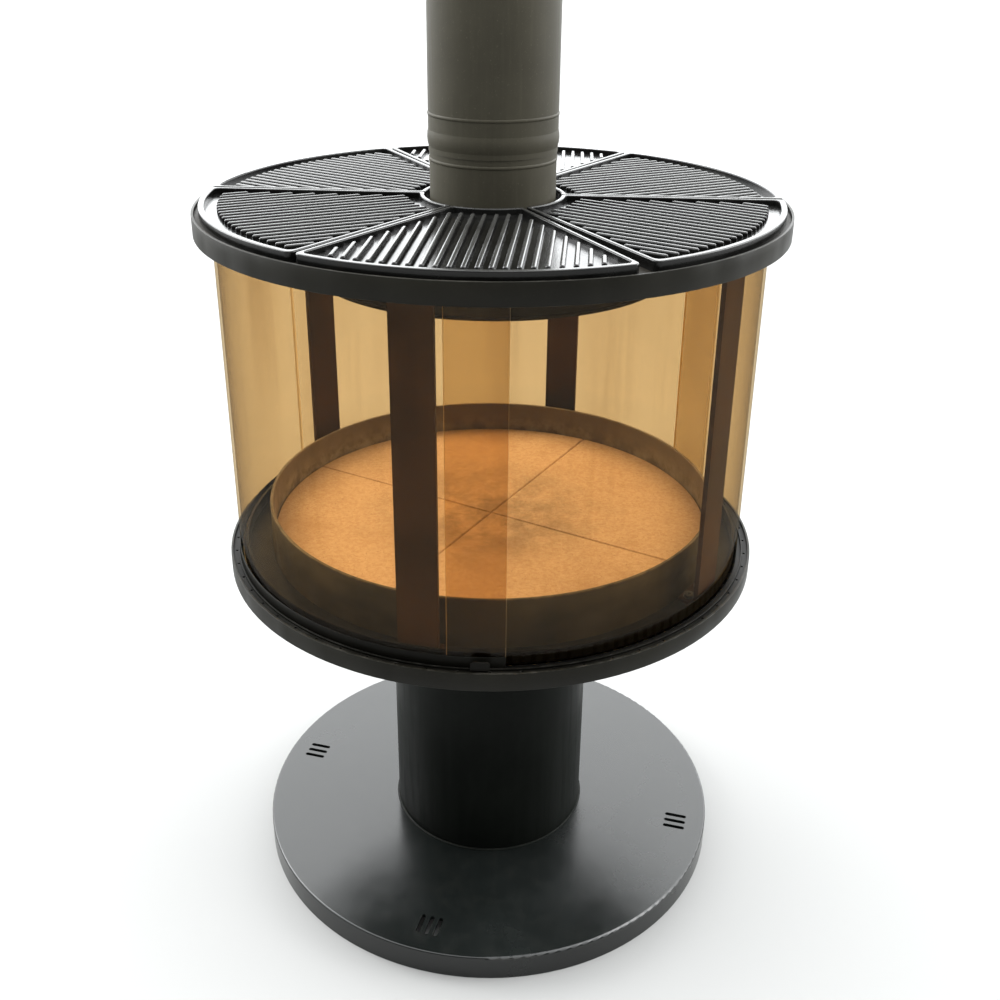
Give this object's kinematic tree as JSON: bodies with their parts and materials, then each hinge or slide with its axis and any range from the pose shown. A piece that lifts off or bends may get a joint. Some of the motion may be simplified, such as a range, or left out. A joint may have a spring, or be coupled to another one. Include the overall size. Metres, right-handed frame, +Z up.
{
  "type": "chiminea",
  "caption": "Round pedestal garden stove with a glazed fire chamber, a curved sliding glass door, lift-off ribbed grill plates round a flue and a rain cap.",
  "frame": {"origin": "middle of the base's underside, on the ground", "axes": "+Z up along the flue, -Y the front, where the picture was taken from, +X to the right"},
  "size_m": [0.7132, 0.7131, 2.108],
  "materials": {
    "base_paint": "satin heat-resistant black, pressed sheet steel",
    "column_paint": "satin heat-resistant black on a rolled tube",
    "flange_steel": "matt black primer",
    "ledge_paint": "satin heat-resistant black",
    "band_paint": "satin heat-resistant black, rolled band",
    "pan_steel": "matt black, dusted with ash",
    "fireclay": "rough sandy fireclay with dark specks",
    "post_paint": "matt heat-resistant black",
    "fastener_steel": "dulled zinc-plated steel",
    "fixed_glass": "heat-proof glass ceramic, faintly amber",
    "door_glass": "heat-proof glass ceramic, faintly amber",
    "seal_fibre": "dark glass-fibre tape and rope",
    "rail_paint": "satin heat-resistant black, folded sheet",
    "glide_brass": "worn",
    "frame_steel": "matt heat-resistant black plate",
    "cast_iron": "seasoned, lightly oiled",
    "flue_paint": "satin heat-resistant black, thin flue pipe",
    "cap_paint": "satin heat-resistant black, thin sheet"
  },
  "bodies": {
    "stove": {"baffle_nuts": "fastener_steel", "baffle_rods": "fastener_steel", "base_plate": "base_paint", "cap_collar": "cap_paint", "cap_cone": "cap_paint", "cap_rivets": "fastener_steel", "cap_struts": "cap_paint", "column_foot_flange": "flange_steel", "column_head_flange": "flange_steel", "column_tube": "column_paint", "fire_pan": "pan_steel", "fixed_pane_back": "fixed_glass", "fixed_pane_right": "fixed_glass", "flue_collar": "frame_steel", "flue_section": "flue_paint", "flue_stub": "flue_paint", "foot_bolts": "fastener_steel", "head_bolts": "fastener_steel", "hearth_plate": "ledge_paint", "hearth_slab_1": "fireclay", "hearth_slab_2": "fireclay", "hearth_slab_3": "fireclay", "hearth_slab_4": "fireclay", "inner_guide_hoop": "frame_steel", "inner_hoop": "ledge_paint", "lower_band": "band_paint", "outer_guide_hoop": "frame_steel", "pane_rope": "seal_fibre", "pane_seal_back": "seal_fibre", "pane_seal_right": "seal_fibre", "pane_tape": "seal_fibre", "post_1": "post_paint", "post_2": "post_paint", "post_3": "post_paint", "post_4": "post_paint", "post_foot_screws": "fastener_steel", "post_head_screws": "fastener_steel", "smoke_baffle": "frame_steel", "top_band": "band_paint", "top_frame": "frame_steel", "track_lip": "ledge_paint"},
    "glass_door": {"door_glass": "door_glass", "door_bottom_rail": "rail_paint", "door_top_rail": "rail_paint", "door_glides": "glide_brass", "door_pull": "rail_paint"},
    "grill_plate_1": {"grill_plate_1": "cast_iron"},
    "grill_plate_2": {"grill_plate_2": "cast_iron"},
    "grill_plate_3": {"grill_plate_3": "cast_iron"},
    "grill_plate_4": {"grill_plate_4": "cast_iron"},
    "grill_plate_5": {"grill_plate_5": "cast_iron"},
    "grill_plate_6": {"grill_plate_6": "cast_iron"}
  },
  "joints": [
    {"name": "door_turn", "type": "hinge", "parent": "stove", "child": "glass_door", "pos_m": [0, 0, 0.487], "axis": [0, 0, 1], "range_deg": [0, 108]},
    {"name": "plate_lift_1", "type": "slide", "parent": "stove", "child": "grill_plate_1", "axis": [0, 0, 1], "range_m": [0, 0.15]},
    {"name": "plate_lift_2", "type": "slide", "parent": "stove", "child": "grill_plate_2", "axis": [0, 0, 1], "range_m": [0, 0.15]},
    {"name": "plate_lift_3", "type": "slide", "parent": "stove", "child": "grill_plate_3", "axis": [0, 0, 1], "range_m": [0, 0.15]},
    {"name": "plate_lift_4", "type": "slide", "parent": "stove", "child": "grill_plate_4", "axis": [0, 0, 1], "range_m": [0, 0.15]},
    {"name": "plate_lift_5", "type": "slide", "parent": "stove", "child": "grill_plate_5", "axis": [0, 0, 1], "range_m": [0, 0.15]},
    {"name": "plate_lift_6", "type": "slide", "parent": "stove", "child": "grill_plate_6", "axis": [0, 0, 1], "range_m": [0, 0.15]}
  ]
}
